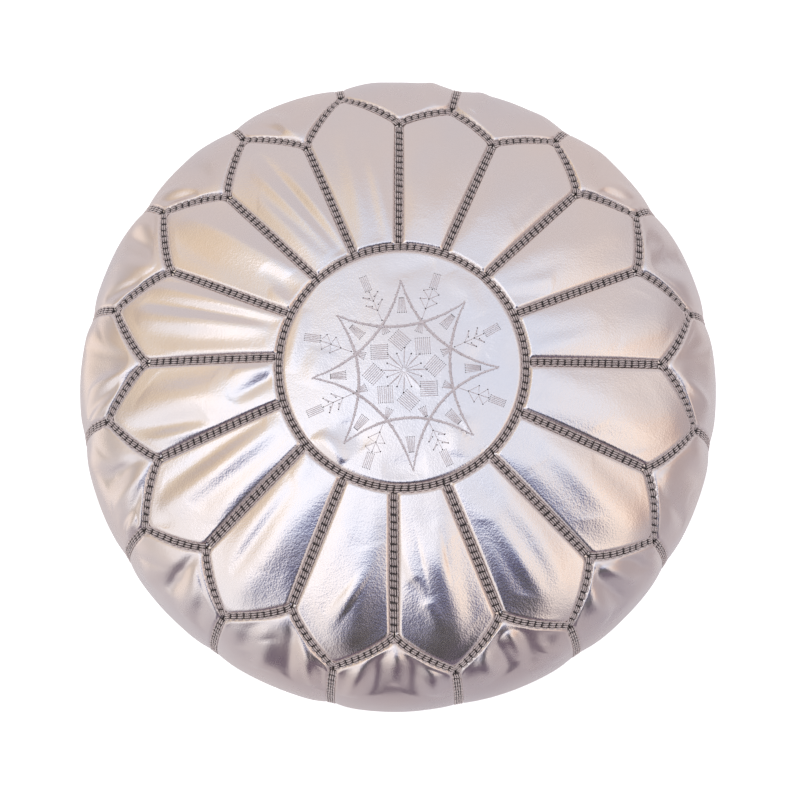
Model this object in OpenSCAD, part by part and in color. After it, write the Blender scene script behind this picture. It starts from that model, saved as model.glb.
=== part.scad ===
// Round stuffed leather pouf: a domed medallion ringed by petals, side panels that wrap from the
// petals' tips to a flat base, laced braid over every visible seam, embroidery on the medallion,
// and a zip in a shallow groove under the base, over a cotton liner packed with filling.
// Millimetres, +Z up. The origin is the centre of the base, on the floor. The zip runs along X.

/* [Cover] */
// Radius of the cover at its widest
cover_r = 260; // [250:1:270]
// Radius of the shallow dome over the top
dome_r = 950; // [850:10:1100]
// Radius of the rounded shoulder between the dome and the side
shoulder_r = 45; // [40:1:50]
// Radius of the side's bulge above the widest line
upper_side_r = 150; // [140:1:160]
// Radius of the side's bulge below the widest line
lower_side_r = 260; // [250:1:270]
// Radius of the rounded foot between the side and the base
foot_r = 55; // [50:1:60]
// Thickness of the leather
leather_t = 1.3; // [1:0.1:1.6]

/* [Panels] */
// Turn of the first petal seam from +X, in degrees
seam_turn = -0.5; // [-2:0.5:2]
// Radius of the medallion, to the middle of its seam
medallion_r = 94; // [90:1:98]
// Radius of the notches between two petals
notch_r = 200; // [196:1:204]
// Radius of the petals' tips
tip_r = 232; // [228:1:236]
// Gap between two sewn edges, under the braid
seam_gap = 0.8; // [0.6:0.1:1.2]

/* [Braid] */
// Width of the laced braid
braid_w = 6.6; // [6:0.1:7]
// Height of the laced braid
braid_t = 1.5; // [1.2:0.1:1.8]
// Height at which the side braids end above the floor
braid_end_z = 6; // [4:1:10]

/* [Embroidery] */
// Radius of the star's points
star_r = 69; // [66:1:72]
// Width of the star's satin lines
star_line = 2; // [1.6:0.1:2.4]
// Height of the thread above the leather
thread_t = 0.6; // [0.4:0.1:0.8]

/* [Zip] */
// Length of the row of teeth
chain_len = 272; // [240:4:272]
// Distance between two teeth of one side
tooth_pitch = 3.2; // [3:0.1:3.6]
// Width of one zip tape beyond the teeth
tape_w = 13; // [11:1:14]
// Length of the pull, from its bar to its end
pull_len = 30; // [24:1:32]

/* [Filling] */
// Depth of the liner below the leather's outer face
liner_in = 8; // [5:0.5:10]
// Thickness of the liner's cotton
liner_t = 0.8; // [0.6:0.1:1]

/* [Hidden] */
$fn = 96;
petals = 16;       // fixed, because each petal and side panel is a part with a name of its own
step = 360 / petals;
eps = 0.01;
clear = 0.15;      // air between a braid or thread and the leather that it lies on
tall = 400;        // taller than the pouf, for cutting prisms

// The side's profile is four arcs that meet tangentially. Angles are above the horizon.
shoulder_a = 25;
foot_a = 32;
widest_z = foot_r + (lower_side_r - foot_r) * sin(foot_a);
upper_c = [cover_r - upper_side_r, widest_z];
lower_c = [cover_r - lower_side_r, widest_z];
shoulder_c = upper_c + (upper_side_r - shoulder_r) * [cos(shoulder_a), sin(shoulder_a)];
foot_c = lower_c + (lower_side_r - foot_r) * [cos(foot_a), -sin(foot_a)];
dome_a = acos(shoulder_c[0] / (dome_r - shoulder_r));
dome_c = [0, shoulder_c[1] - (dome_r - shoulder_r) * sin(dome_a)];
foot_end_a = -88.8;   // the side panels stop here, just short of the base's edge
base_r = foot_c[0] + 0.2;

// The groove over the zip: a low hipped hollow in the base. Its half sizes shrink with height.
groove_x = 168;
groove_y = 30;
groove_h = 9;
groove_run = [10 / 9, 16 / 9];
slot_x = 152;
slot_y = 7.5;

// The zip's heights, from the outer face of its slider to the inner one
pull_z = 5.9;
slider_z = 7.4;
plate_t = 1.4;
slider_top_z = 14;
tape_z = 10.4;
tape_t = 0.8;
tape_edge = 2;
tape_half_len = 158;
tooth_w = 1.3;
tooth_reach = 0.9;
tooth_root = 3.2;
tooth_z = [9.3, 12.3];
slider_len = 14;
slider_w = 10.4;
slider_x = 141;       // the slider's middle with the zip closed
teeth_end_x = 142;    // the last tooth, just short of the slider's post
teeth_start_x = teeth_end_x - chain_len;

function numbered(name) = [for (i = [1:petals]) str(name, i < 10 ? "_0" : "_", i)];
PETALS = numbered("petal");
SIDES = numbered("side_panel");

// ---- Outlines ----

// Points along an arc of a profile, moved out by d
function arc(c, r, d, a0, a1, n) =
    [for (i = [0:n]) let (a = a0 + (a1 - a0) * i / n) c + (r + d) * [cos(a), sin(a)]];

// The dome from the axis to just short of the shoulder, and the side from the shoulder to the foot
function dome_line(d) = arc(dome_c, dome_r, d, 90, dome_a + 1.6, 7);
function upper_line(d) = concat(
    arc(shoulder_c, shoulder_r, d, dome_a, shoulder_a, 6),
    arc(upper_c, upper_side_r, d, shoulder_a - 6, 0, 4));
function side_line(d, end_a) = concat(
    upper_line(d),
    arc(lower_c, lower_side_r, d, -6, -foot_a, 5),
    arc(foot_c, foot_r, d, -foot_a - 8, end_a, 6));

function backwards(p) = [for (i = [len(p) - 1:-1:0]) p[i]];

// Radius of the scalloped edge at t, from 0 at a notch to 1 at a tip
function scallop_r(t) = notch_r + (tip_r - notch_r) * pow(t, 0.92);

// Points of the scalloped edge over one petal, from notch to notch, moved out by d
function scallop(d) = [for (i = [-4:4]) let (t = 1 - abs(i) / 4, a = step / 2 * i / 4)
    (scallop_r(t) + d) * [cos(a), sin(a)]];

// The same over the whole flower
function flower(d) = [for (k = [0:petals - 1], i = [-4:3]) let (t = 1 - abs(i) / 4,
    a = seam_turn + step * (k + 0.5 + i / 8)) (scallop_r(t) + d) * [cos(a), sin(a)]];

// The angle at radius r of an edge that stays g away from a seam
function edge_a(r, g) = step / 2 - asin(g / r);

// A petal that points along +X, with every edge g inside its seams
function petal_outline(g) = let (r0 = medallion_r + g, a0 = edge_a(r0, g), r1 = notch_r - g, a1 = edge_a(r1, g))
    concat([for (i = [-3:3]) let (a = -a0 * i / 3) r0 * [cos(a), sin(a)]],
           [for (i = [-4:4]) let (t = 1 - abs(i) / 4, a = a1 * i / 4)
               (scallop_r(t) - g) * [cos(a), sin(a)]]);

// ---- Solids that the panels are cut from ----

// A skin that follows the cover, from d0 to d1 beyond its outer face
module dome_skin(d0, d1) {
    rotate_extrude() polygon(concat(dome_line(d0), upper_line(d0), backwards(upper_line(d1)),
                                    backwards(dome_line(d1))));
}

module side_skin(d0, d1) {
    rotate_extrude() polygon(concat(arc(dome_c, dome_r, d0, dome_a + 2, dome_a + 0.5, 2),
                                    side_line(d0, foot_end_a), backwards(side_line(d1, foot_end_a)),
                                    arc(dome_c, dome_r, d1, dome_a + 0.5, dome_a + 2, 2)));
}

// The whole stuffed form, d inside the cover
module stuffed_form(d) {
    rotate_extrude() polygon(concat(dome_line(-d), side_line(-d, -90), [[0, d]]));
}

// The hollow over the zip, grown by (x, y) and cut off between two heights
module groove(grow, z0, z1) {
    hx0 = groove_x + grow[0] - groove_run[0] * z0;
    hx1 = groove_x + grow[0] - groove_run[0] * z1;
    hy0 = groove_y + grow[1] - groove_run[1] * z0;
    hy1 = groove_y + grow[1] - groove_run[1] * z1;
    intersection() {
        rotate([90, 0, 90]) linear_extrude(3 * groove_x, center = true)
            polygon([[-hy0, z0], [hy0, z0], [hy1, z1], [-hy1, z1]]);
        rotate([90, 0, 0]) linear_extrude(8 * groove_y, center = true)
            polygon([[-hx0, z0], [hx0, z0], [hx1, z1], [-hx1, z1]]);
    }
}

// ---- Leather panels ----

module medallion() {
    color([0.86, 0.85, 0.86]) intersection() {
        dome_skin(-leather_t, 0);
        cylinder(r = medallion_r - seam_gap / 2, h = tall);
    }
}

module petal(k) {
    color([0.85, 0.79, 0.75]) rotate([0, 0, seam_turn + step * (k - 0.5)]) intersection() {
        dome_skin(-leather_t, 0);
        linear_extrude(tall) polygon(petal_outline(seam_gap / 2));
    }
}

// A side panel lies between two tips, so it is centred on the seam between two petals
module side_panel(k) {
    far = 1.2 * cover_r;
    half = far * tan(step / 2);
    near_x = seam_gap / 2 / sin(step / 2);
    color([0.83, 0.77, 0.74]) difference() {
        intersection() {
            side_skin(-leather_t, 0);
            rotate([0, 0, seam_turn + step * (k - 1)]) linear_extrude(tall)
                polygon([[near_x, 0], [far + near_x, -half], [far + near_x, half]]);
        }
        translate([0, 0, widest_z]) linear_extrude(tall) polygon(flower(seam_gap / 2));
    }
}

// One half of the base, with its half of the groove and of the slot for the zip. side is -1 or 1
module base_panel(side) {
    upper_grow = [leather_t / sin(atan(1 / groove_run[0])), leather_t / sin(atan(1 / groove_run[1]))];
    color([0.80, 0.74, 0.71]) intersection() {
        difference() {
            union() {
                cylinder(r = base_r, h = leather_t);
                groove(upper_grow, 0, groove_h + leather_t);
            }
            groove([0, 0], -1, groove_h);
            translate([-slot_x, -slot_y, groove_h - 1]) cube([2 * slot_x, 2 * slot_y, 2 * leather_t + 1]);
        }
        translate([-base_r - 1, side > 0 ? seam_gap / 2 : -base_r - 1, -1])
            cube([2 * base_r + 2, base_r + 1 - seam_gap / 2, 20]);
    }
}

// ---- Braid and embroidery ----

module braid_color() {
    color([0.42, 0.38, 0.37]) children();
}

module medallion_braid() {
    braid_color() intersection() {
        dome_skin(clear, clear + braid_t);
        difference() {
            cylinder(r = medallion_r + braid_w / 2, h = tall);
            translate([0, 0, -1]) cylinder(r = medallion_r - braid_w / 2, h = tall + 2);
        }
    }
}

// A straight braid along each seam between two petals
module petal_braids() {
    from = medallion_r + braid_w / 2 + 0.1;
    to = notch_r - braid_w / 2 - 0.4;
    braid_color() intersection() {
        dome_skin(clear, clear + braid_t);
        for (k = [0:petals - 1]) rotate([0, 0, seam_turn + step * k])
            translate([from, -braid_w / 2, 0]) cube([to - from, braid_w, tall]);
    }
}

// The braid that follows the scalloped edge round the flower
module scallop_braid() {
    braid_color() intersection() {
        dome_skin(clear, clear + braid_t);
        linear_extrude(tall) difference() {
            polygon(flower(braid_w / 2));
            polygon(flower(-braid_w / 2));
        }
    }
}

// A braid down each side seam, from a petal's tip to just above the floor
module side_braids() {
    braid_color() difference() {
        intersection() {
            side_skin(clear, clear + braid_t);
            for (k = [0:petals - 1]) rotate([0, 0, seam_turn + step * (k + 0.5)])
                translate([foot_c[0], -braid_w / 2, braid_end_z]) cube([cover_r, braid_w, tall]);
        }
        translate([0, 0, widest_z]) linear_extrude(tall) polygon(flower(braid_w / 2 + 0.4));
    }
}

// One bowed satin line of the star, from one point to the next but one
module star_stroke() {
    n = 8;
    bow = 0.39;
    a = star_r * [1, 0];
    b = star_r * [0, 1];
    middle = bow * (a + b) / 2;
    line = [for (i = [0:n]) let (t = i / n)
        pow(1 - t, 2) * a + 2 * t * (1 - t) * middle + pow(t, 2) * b];
    out = [for (i = [0:n]) let (d = line[min(i + 1, n)] - line[max(i - 1, 0)]) [d[1], -d[0]] / norm(d)];
    half = [for (i = [0:n]) star_line / 2 * (i == 0 || i == n ? 0.5 : 1)];
    polygon(concat([for (i = [0:n]) line[i] + half[i] * out[i]],
                   [for (i = [n:-1:0]) line[i] - half[i] * out[i]]));
}

// The star, satin wedges in its points and at its crossings, a ring of blocks round the centre,
// and a sprig that ends in a satin block between each two points
module medallion_embroidery() {
    star_turn = 2.5;
    block_turn = 8;
    color([0.74, 0.69, 0.68]) intersection() {
        dome_skin(clear, clear + thread_t);
        linear_extrude(tall) for (k = [0:7]) {
            rotate(star_turn + 45 * k) {
                star_stroke();
                polygon([[47, -3.2], [57, -1.8], [57, 1.8], [47, 3.2]]);
            }
            rotate(block_turn + 45 * k) translate([19, -5.5]) square([11, 11]);
            rotate(star_turn + 45 * (k + 0.5)) {
                polygon([[34, -2], [37.6, 0], [34, 2]]);
                translate([43.4, -0.5]) square([26, 1]);
                translate([72.6, -6]) square([5, 12]);
            }
        }
    }
}

// ---- Zip ----

module tape(side) {
    color([0.55, 0.50, 0.48]) translate([-tape_half_len, side > 0 ? tape_edge : -tape_edge - tape_w, tape_z])
        cube([2 * tape_half_len, tape_w, tape_t]);
}

// One tooth for the side at +Y: it grips the tape's edge and reaches just past the middle line
module tooth() {
    grip = [tape_z - 0.05, tape_z + tape_t + 0.05];
    rotate([90, 0, 90]) linear_extrude(tooth_w, center = true) polygon([
        [-tooth_reach, tooth_z[0]], [tooth_root, tooth_z[0]], [tooth_root, grip[0]], [tape_edge - 0.05, grip[0]],
        [tape_edge - 0.05, grip[1]], [tooth_root, grip[1]], [tooth_root, tooth_z[1]], [-tooth_reach, tooth_z[1]]]);
}

module teeth(side) {
    count = floor(chain_len / tooth_pitch);
    color([0.78, 0.74, 0.66]) for (i = [0:count - 1])
        translate([teeth_start_x + tooth_pitch * (i + (side > 0 ? 0.5 : 0)), 0, 0]) mirror([0, side > 0 ? 0 : 1, 0]) tooth();
}

// A stop clamped over a tape's edge at the closed end
module top_stop(side) {
    translate([149, side > 0 ? tape_edge - 0.7 : -tape_edge - 1.3, 0]) difference() {
        translate([0, 0, 9.2]) cube([2.4, 2, 3.2]);
        translate([-1, side > 0 ? 0.65 : -0.65, tape_z - 0.05]) cube([5, 2, tape_t + 0.1]);
    }
}

module zip_top_stops() {
    color([0.78, 0.74, 0.66]) {
        top_stop(1);
        top_stop(-1);
    }
}

// One wide stop over both tapes at the open end
module zip_bottom_stop() {
    color([0.78, 0.74, 0.66]) translate([teeth_start_x - 5.5, 0, 0]) difference() {
        translate([0, -3.2, 9.2]) cube([3, 6.4, 3.2]);
        for (side = [-1, 1]) translate([-1, side > 0 ? tape_edge - 0.05 : -tape_edge - 1.95, tape_z - 0.05])
            cube([5, 2, tape_t + 0.1]);
    }
}

// Two rows of stitches that hold the base's lips to the tapes
module zip_stitching() {
    stitch = [3.4, 0.6, 0.4];
    spacing = 4.6;
    rows = floor(150 / spacing);
    color([0.62, 0.57, 0.55]) for (side = [-1, 1], i = [-rows:rows])
        translate([spacing * i - stitch[0] / 2, side * 10.6 - stitch[1] / 2, groove_h - stitch[2] - 0.05])
            cube(stitch);
}

// The slider: two plates with flanges round the teeth, a post that parts them, and a bridge for the pull
module zip_slider() {
    bridge_w = 2.6;
    color([0.80, 0.76, 0.68]) translate([slider_x, 0, 0]) {
        translate([-slider_len / 2, -slider_w / 2, slider_z]) cube([slider_len, slider_w, plate_t]);
        translate([-slider_len / 2, -4.2, slider_top_z - plate_t]) cube([slider_len, 8.4, plate_t]);
        for (side = [-1, 1]) {
            translate([-slider_len / 2, side > 0 ? 4.2 : -5.2, slider_z]) cube([slider_len, 1, 2.5]);
            translate([-slider_len / 2, side > 0 ? 3.5 : -4.2, 11.7]) cube([slider_len, 0.7, 2]);
        }
        translate([3.6, -0.9, slider_z]) cube([2.4, 1.8, slider_top_z - slider_z]);
        difference() {
            translate([-4.2, -bridge_w / 2, slider_z - 4]) cube([8.4, bridge_w, 4.2]);
            translate([-3.2, -bridge_w, slider_z - 3]) cube([6.4, 2 * bridge_w, 3]);
        }
    }
}

// The pull: a round bar under the bridge, two arms, and a flat tab with a rounded end
module zip_pull() {
    bar_r = 0.8;
    t = 1.4;
    arm_y = 1.9;
    half_w = 3.4;
    slot_end = 7;
    color([0.80, 0.76, 0.68]) translate([slider_x, 0, pull_z]) {
        rotate([90, 0, 0]) cylinder(r = bar_r, h = 2 * half_w, center = true);
        for (side = [-1, 1]) translate([-slot_end - 1, side > 0 ? arm_y : -half_w, -t / 2])
            cube([slot_end + 1, half_w - arm_y, t]);
        translate([-pull_len + half_w, -half_w, -t / 2]) cube([pull_len - half_w - slot_end, 2 * half_w, t]);
        translate([-pull_len + half_w, 0, -t / 2]) cylinder(r = half_w, h = t);
    }
}

// ---- Inside ----

// The cotton liner follows the cover and arches over the zip
module liner() {
    color([0.93, 0.91, 0.86]) difference() {
        stuffed_form(liner_in);
        difference() {
            stuffed_form(liner_in + liner_t);
            groove([11.9, 13], 0, 18);
        }
        groove([10, 11], 0, 17);
    }
}

module filling() {
    gap = 0.5;
    color([0.90, 0.88, 0.84]) difference() {
        stuffed_form(liner_in + liner_t + gap);
        groove([12.9, 14.5], 0, 19);
    }
}

medallion();
medallion_embroidery();
medallion_braid();
for (k = [1:petals]) {
    petal(k);
    side_panel(k);
}
petal_braids();
scallop_braid();
side_braids();
base_panel(-1);  // base_panel_front
base_panel(1);  // base_panel_back
tape(-1);  // zip_tape_front
tape(1);  // zip_tape_back
teeth(-1);  // zip_teeth_front
teeth(1);  // zip_teeth_back
zip_top_stops();
zip_bottom_stop();
zip_stitching();
zip_slider();
zip_pull();
liner();
filling();
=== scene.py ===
"""A stuffed moroccan leather pouf: puffed panels, laced braids, embroidery and the zip under the base.

Lengths in the shape code are millimetres, as in the CAD, and become metres when a mesh is made.
A place on the cover is (turn, s, d): the angle round the axis in degrees, the distance along the
cover's profile from the crown, and the height above the CAD's outer face.
"""
from math import acos, cos, degrees, hypot, pi, radians, sin

import bpy
import numpy as np
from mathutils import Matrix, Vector, noise
from mathutils.bvhtree import BVHTree
from numpy.linalg import norm


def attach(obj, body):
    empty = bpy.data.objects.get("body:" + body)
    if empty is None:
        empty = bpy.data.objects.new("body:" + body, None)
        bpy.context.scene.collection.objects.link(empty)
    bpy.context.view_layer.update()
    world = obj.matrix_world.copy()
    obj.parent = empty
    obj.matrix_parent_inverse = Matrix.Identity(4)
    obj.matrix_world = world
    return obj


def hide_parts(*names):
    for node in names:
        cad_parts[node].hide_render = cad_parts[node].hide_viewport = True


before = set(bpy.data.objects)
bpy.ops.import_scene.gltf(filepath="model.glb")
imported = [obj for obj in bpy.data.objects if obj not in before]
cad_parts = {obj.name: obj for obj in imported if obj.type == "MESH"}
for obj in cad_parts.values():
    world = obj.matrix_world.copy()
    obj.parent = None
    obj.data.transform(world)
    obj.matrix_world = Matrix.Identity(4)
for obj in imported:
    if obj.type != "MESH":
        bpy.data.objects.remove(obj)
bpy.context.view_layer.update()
scene = bpy.context.scene
MM = 0.001

# ---- The cover's even form, as in the CAD ----

PETALS = 16
STEP = 360 / PETALS
SEAM_TURN = -0.5        # the first petal seam
MEDALLION_R = 94.0
NOTCH_R = 200.0
TIP_R = 232.0
SCALLOP_POWER = 0.92    # how blunt the petals' tips are
COVER_R = 260.0
DOME_R, SHOULDER_R, UPPER_R, LOWER_R, FOOT_R = 950.0, 45.0, 150.0, 260.0, 55.0
SHOULDER_A, FOOT_A = 25.0, 32.0
LEATHER_T = 1.2


def unit(a):
    a = np.radians(a)
    return np.stack([np.cos(a), np.sin(a)], -1)


WIDEST_Z = FOOT_R + (LOWER_R - FOOT_R) * sin(radians(FOOT_A))
UPPER_C = np.array([COVER_R - UPPER_R, WIDEST_Z])
LOWER_C = np.array([COVER_R - LOWER_R, WIDEST_Z])
SHOULDER_C = UPPER_C + (UPPER_R - SHOULDER_R) * unit(SHOULDER_A)
FOOT_C = LOWER_C + (LOWER_R - FOOT_R) * unit(-FOOT_A)
DOME_A = degrees(acos(SHOULDER_C[0] / (DOME_R - SHOULDER_R)))
DOME_C = np.array([0.0, SHOULDER_C[1] - (DOME_R - SHOULDER_R) * sin(radians(DOME_A))])
FOOT_END_A = -89.2      # the side panels end here, at the base


def profile_table():
    """Distance along the profile, radius, height and outward normal, every half millimetre or so."""
    rows = []
    s = 0.0
    for centre, r, a0, a1 in ((DOME_C, DOME_R, 90, DOME_A), (SHOULDER_C, SHOULDER_R, DOME_A, SHOULDER_A),
                              (UPPER_C, UPPER_R, SHOULDER_A, 0), (LOWER_C, LOWER_R, 0, -FOOT_A),
                              (FOOT_C, FOOT_R, -FOOT_A, FOOT_END_A)):
        length = r * radians(a0 - a1)
        for a in np.linspace(a0, a1, int(length * 2), endpoint=False):
            n = unit(a)
            p = centre + r * n
            rows.append((s + r * radians(a0 - a), p[0], p[1], n[0], n[1]))
        s += length
    return np.array(rows)


PROFILE = profile_table()
S_END = PROFILE[-1, 0]


def s_of_r(r):
    """Distance along the profile at radius r, above the widest line."""
    upper = PROFILE[:np.argmax(PROFILE[:, 1]) + 1]
    return np.interp(r, upper[:, 1], upper[:, 0])


def radius_at(s):
    return np.interp(s, PROFILE[:, 0], PROFILE[:, 1])


def place(turn, s, d):
    """Points in millimetres."""
    r, z, nr, nz = (np.interp(s, PROFILE[:, 0], PROFILE[:, i]) for i in (1, 2, 3, 4))
    a = np.radians(turn)
    return np.stack([(r + nr * d) * np.cos(a), (r + nr * d) * np.sin(a), z + nz * d], -1)


S_RING = float(s_of_r(MEDALLION_R))


def scallop_s(turn):
    """Distance along the profile of the scalloped edge."""
    t = 1 - np.abs(((turn - SEAM_TURN) / STEP) % 1 - 0.5) * 2
    return s_of_r(NOTCH_R + (TIP_R - NOTCH_R) * t ** SCALLOP_POWER)


# ---- Hand sewing: how far the seams stray from the even form, in millimetres ----

LEAN_TURN = 325         # the stuffing leans this way, and takes the ring and the scalloped edge with it
RING_LEAN, EDGE_LEAN = 4, 6
TWIST_TURN = 30         # the leather is drawn round the axis, most on this side
RING_TWIST, EDGE_TWIST = 3, 2
# Corners of the scalloped edge that were sewn off the rest: (turn, outward, round)
STRAYS = (
    (0, 0, 3), (34, -7, 0), (56, -6, 0), (78, -12, 0), (90, 5, 0), (101, 4, 3), (225, 3, 0), (270, 3, 0),
)


def toward(turn, side, amount):
    return amount * np.cos(np.radians(turn - side))


def stray(turn, column):
    """What the stray corners add, fading out by the next corner."""
    total = 0.0
    for corner in STRAYS:
        away = np.abs((turn - corner[0] + 180) % 360 - 180)
        total = total + corner[column] * np.clip(1 - away / (STEP / 2), 0, 1)
    return total


def sewn(turn, s):
    """Moves a place on the even form to where the hand-sewn one has it."""
    turn, s = np.broadcast_arrays(np.asarray(turn, float), np.asarray(s, float))
    edge = scallop_s(turn)
    inner = np.clip(s / S_RING, 0, 1)
    f = np.clip((s - S_RING) / (edge - S_RING), 0, 1)
    fade = np.clip(1 - (s - edge) / (S_END - edge), 0, 1) ** 2
    ring_out = toward(turn, LEAN_TURN, RING_LEAN)
    ring_round = toward(turn, TWIST_TURN, RING_TWIST) - 1
    edge_out = toward(turn, LEAN_TURN, EDGE_LEAN) - 1 + stray(turn, 1)
    edge_round = toward(turn, TWIST_TURN, EDGE_TWIST) + stray(turn, 2)
    out = (ring_out * (1 - f) * inner + edge_out * f) * fade
    along = (ring_round * (1 - f) * inner + edge_round * f) * fade
    return turn + np.degrees(along / np.maximum(radius_at(s), 20)), s + out


# ---- Heights: seams are pulled into the stuffing ----

SEAM_SINK = 3.4     # how deep a braid lies on the top
SIDE_SINK = 3.2     # and down the sides
EDGE_ROLL = 1.9     # how much of that the leather drops in the last few millimetres beside a braid
TUCK_TURN = 77.9    # one tip is pulled in, to a small pit
TUCK_DEPTH, TUCK_R = 2.6, 9


def wander(turn, s, size, seed):
    """Smooth noise from -1 to 1 over the cover, with features of that size in millimetres."""
    p = place(turn, s, 0) / size + seed * 17.3
    flat = p.reshape(-1, 3)
    return np.array([noise.noise(Vector(q)) for q in flat]).reshape(p.shape[:-1])


def fade_to_base(s):
    return np.clip((S_END - s) / 60, 0, 1)


def on_side(s):
    """0 on the top, growing to 1 a little below the scalloped edge."""
    return np.clip((s - s_of_r(TIP_R)) / 60, 0, 1)


def seam_height(turn, s):
    """Height of the leather's outer face under a braid."""
    height = -SEAM_SINK + (SEAM_SINK - SIDE_SINK) * on_side(s) + 0.5 * wander(turn, s, 60, 1)
    across = np.radians(turn - TUCK_TURN) * radius_at(s)
    away = np.hypot(across, s - scallop_s(turn))
    return height * fade_to_base(s) - TUCK_DEPTH * np.exp(-(away / TUCK_R) ** 2)


def edge_roll(s):
    """How far the leather's edge is rolled down beside a braid, on top of what the stuffing lifts."""
    return EDGE_ROLL * (1 - 0.35 * on_side(s)) * fade_to_base(s)


# ---- Leather panels as grids of points, before stuffing ----

EDGE = 0.5              # a panel's edge lies this far from the middle of its seam
PINNED = 3.2            # the braid holds the leather down to here
MEDALLION_CELLS = 24    # from its middle to its edge
PETAL_GRID, SIDE_GRID = (26, 42), (28, 78)      # columns and rows
PUFF_WIDE = 14          # how far from the braid a panel reaches its full height
PETAL_LONG = 0.5 * (NOTCH_R + TIP_R) - MEDALLION_R
SIDE_LONG = 100.0       # the length that folds down the sides are measured in


def across(half, r, columns):
    """Angles from -half to half: the edge, the braid's edge, and even columns between them."""
    edge = half - np.degrees(EDGE / r)
    held = half - np.degrees(PINNED / r)
    inner = np.linspace(-1, 1, columns - 2)
    return np.stack([-edge] + [held * x for x in inner] + [edge], -1)


def sector_grid(centre, columns, rows, r, between):
    """turn and s of a panel's points. Rows go out and down, and columns go round."""
    u = np.concatenate([[0], np.linspace(0, 1, rows - 2), [1]])[:, None]
    turn = centre + across(STEP / 2, np.full(rows, r), columns)
    for _ in range(2):      # the columns follow the seams' width at the radius that the rows have
        s = between(scallop_s(turn), u)
        turn = centre + across(STEP / 2, radius_at(s[:, columns // 2]), columns)
    return turn, s


def petal_grid(k, columns, rows):
    """From the ring to the scalloped edge."""
    lift = np.concatenate([[EDGE], np.full(rows - 2, PINNED), [EDGE]])[:, None]
    return sector_grid(SEAM_TURN + STEP * (k + 0.5), columns, rows, 150.0,
                       lambda edge, u: (S_RING + lift) * (1 - u) + (edge - lift * 1.2) * u)


def side_grid(k, columns, rows):
    """From the scalloped edge down to the base."""
    top = np.concatenate([[EDGE], np.full(rows - 1, PINNED)])[:, None] * 1.2

    def between(edge, u):
        s = (edge + top) * (1 - u) + S_END * u
        s[-2] = S_END - PINNED
        return s
    return sector_grid(SEAM_TURN + STEP * k, columns, rows, 230.0, between)


def medallion_grid(half):
    """The same for the medallion: a square grid drawn out to a disc."""
    i = np.arange(-half, half + 1)
    x, y = np.meshgrid(i, i)
    ring = np.maximum(np.abs(x), np.abs(y))
    side = np.where(np.abs(x) >= np.abs(y), np.where(x >= 0, 0, 4), np.where(y >= 0, 2, 6))
    run = np.select([side == 0, side == 2, side == 4, side == 6], [y, -x, -y, x])
    turn = (side + run / np.maximum(ring, 1)) * 45.0
    s = np.interp(ring, [0, half - 1, half], [0, S_RING - PINNED, S_RING - EDGE])
    return turn, s


def seam_distance(kind, turn, s, centre):
    """Millimetres from each point to the nearest seam of its panel."""
    beside = np.radians(STEP / 2 - np.abs(turn - centre)) * radius_at(s)
    edge = scallop_s(turn)
    if kind == "petal":
        return np.minimum(beside, np.minimum(s - S_RING, (edge - s) / 1.2))
    if kind == "side":
        return np.minimum(beside, np.minimum((s - edge) / 1.2, S_END - s))
    return S_RING - s


class Panel:
    """A piece of leather: where its points start, and the larger size that it was cut to."""

    def __init__(self, kind, k, turn, s, fullness):
        self.kind, self.k = kind, k
        self.shape = turn.shape
        centre = SEAM_TURN + STEP * (k + 0.5 if kind == "petal" else k)
        gap = seam_distance(kind, turn, s, centre)
        self.gap, self.held = gap, gap < PINNED + 0.4
        rise = np.clip((gap - PINNED) / PUFF_WIDE, 0, 1)
        turn2, s2 = sewn(turn, s)
        self.turn, self.s = turn2, s2
        self.across = (turn - centre) / (STEP / 2)
        edge = scallop_s(turn)
        self.along = (s - edge) / SIDE_LONG if kind == "side" else (s - S_RING) / (edge - S_RING)
        self.low = seam_height(turn, s) + edge_roll(s)
        slack = -1.2 if kind == "side" else 0.0
        self.start = place(turn2, s2, self.low + (slack - self.low) * rise * (2 - rise))
        larger = 1 + fullness(turn2, s2)
        if kind == "medallion":
            self.cut = place(turn2, s2 * larger, 0)
        else:
            self.cut = place(centre + (turn2 - centre) * larger, s2, 0)


def make_panels():
    """Every panel of the cover, with the fullness that the sewing gathers in."""
    def petal_full(turn, s):
        return 0.011 + 0.005 * wander(turn, s, 70, 2)

    def side_full(turn, s):
        near_top = np.exp(-np.clip(s - S_RING - 125, 0, None) / 35)
        return 0.035 * near_top + 0.008 * wander(turn, s, 80, 3)

    def medallion_full(turn, s):
        return -0.004 + 0.006 * wander(turn, s, 60, 4)

    panels = [Panel("medallion", 0, *medallion_grid(MEDALLION_CELLS), medallion_full)]
    panels += [Panel("petal", k, *petal_grid(k, *PETAL_GRID), petal_full) for k in range(PETALS)]
    panels += [Panel("side", k, *side_grid(k, *SIDE_GRID), side_full) for k in range(PETALS)]
    return panels


def grid_faces(rows, columns, first=0, flip=False):
    i, j = np.meshgrid(np.arange(rows - 1), np.arange(columns - 1), indexing="ij")
    a = (first + i * columns + j).ravel()
    order = (a, a + 1, a + columns + 1, a + columns) if flip else (a, a + columns, a + columns + 1, a + 1)
    return np.stack(order, -1)


def scene_object(name, data):
    ob = bpy.data.objects.new(name, data)
    scene.collection.objects.link(ob)
    return ob


def mesh_object(name, points, faces):
    """A mesh object from points in millimetres."""
    me = bpy.data.meshes.new(name)
    me.from_pydata((np.asarray(points) * MM).tolist(), [], [list(map(int, f)) for f in faces])
    me.polygons.foreach_set("use_smooth", [True] * len(me.polygons))
    me.update()
    return scene_object(name, me)


# ---- Stuffing: Blender's cloth, sewn to size and blown out against the seams ----

CLOTH_FRAMES = 14
SEWN_BY = 7         # the frame by which the seams have gathered the leather to its sewn size


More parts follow.
